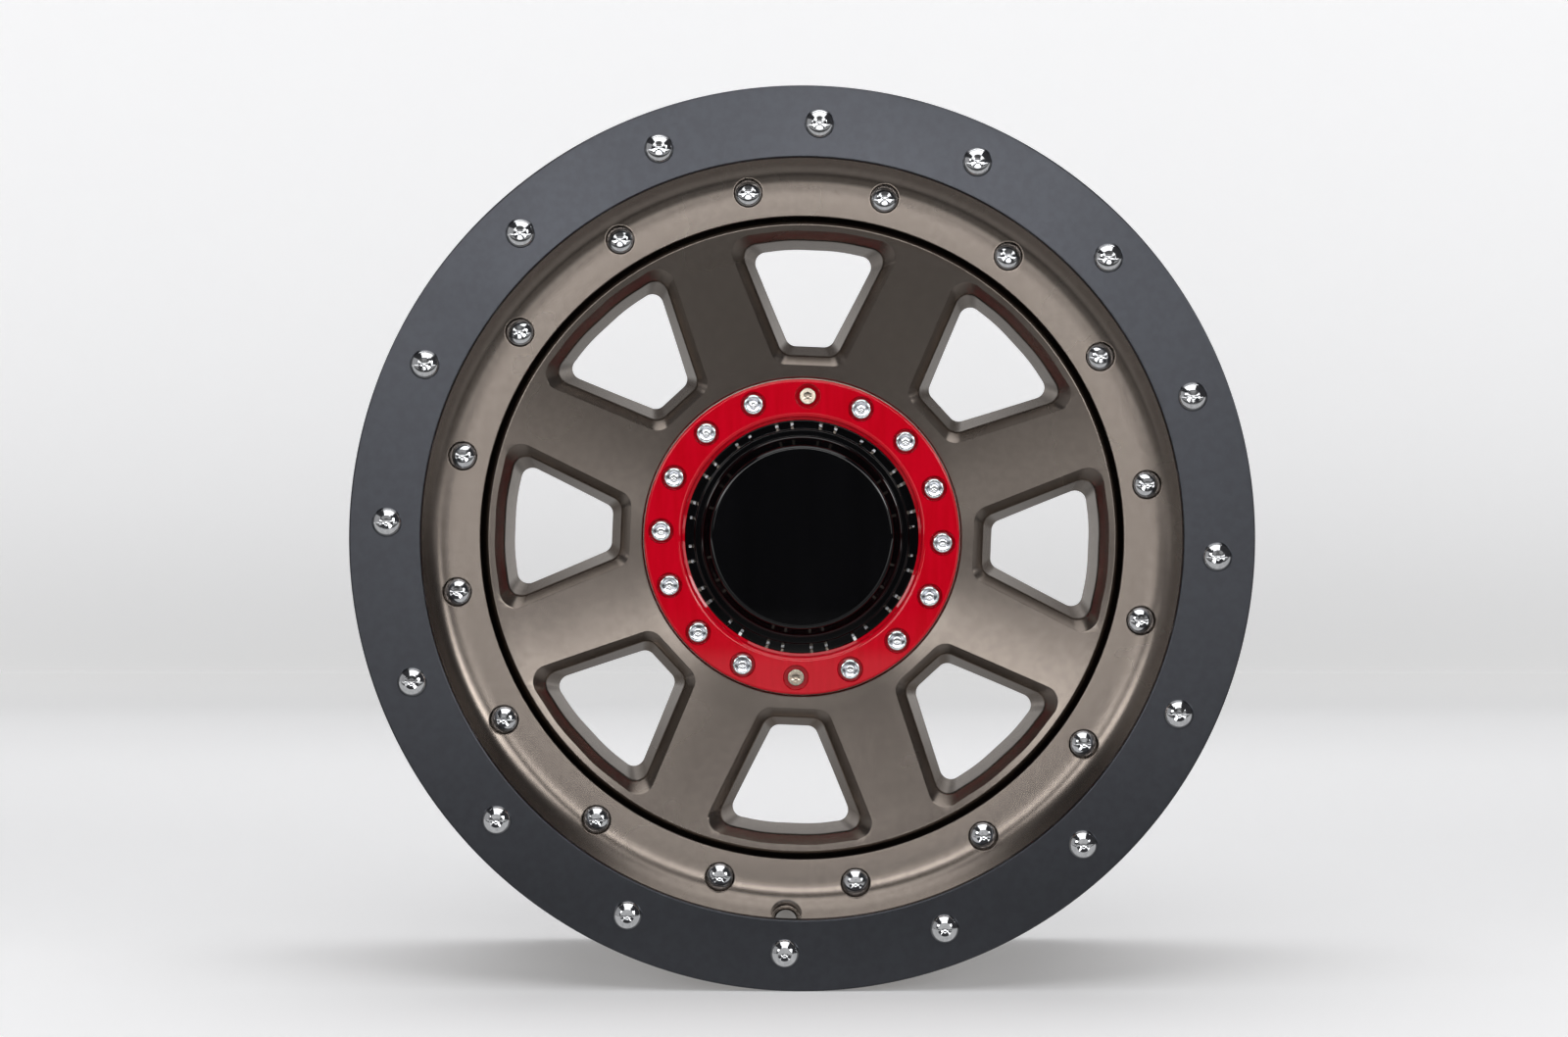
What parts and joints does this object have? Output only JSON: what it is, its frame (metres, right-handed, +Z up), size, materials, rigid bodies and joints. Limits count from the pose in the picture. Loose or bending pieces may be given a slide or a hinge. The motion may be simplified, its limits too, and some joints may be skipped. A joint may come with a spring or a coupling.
{
  "type": "alloy wheel",
  "caption": "Deep off-road alloy wheel with windowed spokes, a screwed black trim ring, a studded red hub ring and a snap-in centre cap.",
  "frame": {"origin": "centre of the mounting face, on the wheel's axis", "axes": "+Y along the wheel's axis, from its front face towards the vehicle; +Z up; the wheel stands upright on the edges of its two flanges"},
  "size_m": [0.4712, 0.268, 0.4712],
  "materials": {
    "bronze_casting": "satin dark bronze paint",
    "black_ring": "satin black powder coat",
    "chrome_bolts": "bright chrome",
    "red_ring": "gloss red anodising",
    "champagne_screws": "satin champagne plating",
    "black_cap": "gloss black",
    "spring_steel": "bright wire"
  },
  "bodies": {
    "root": {"wheel_casting": "bronze_casting", "trim_ring": "black_ring", "trim_ring_bolts": "chrome_bolts", "lip_bolts": "chrome_bolts", "hub_ring": "red_ring", "hub_ring_studs": "chrome_bolts", "hub_ring_screws": "champagne_screws", "centre_cap": "black_cap", "cap_spring_ring": "spring_steel"}
  },
  "joints": []
}
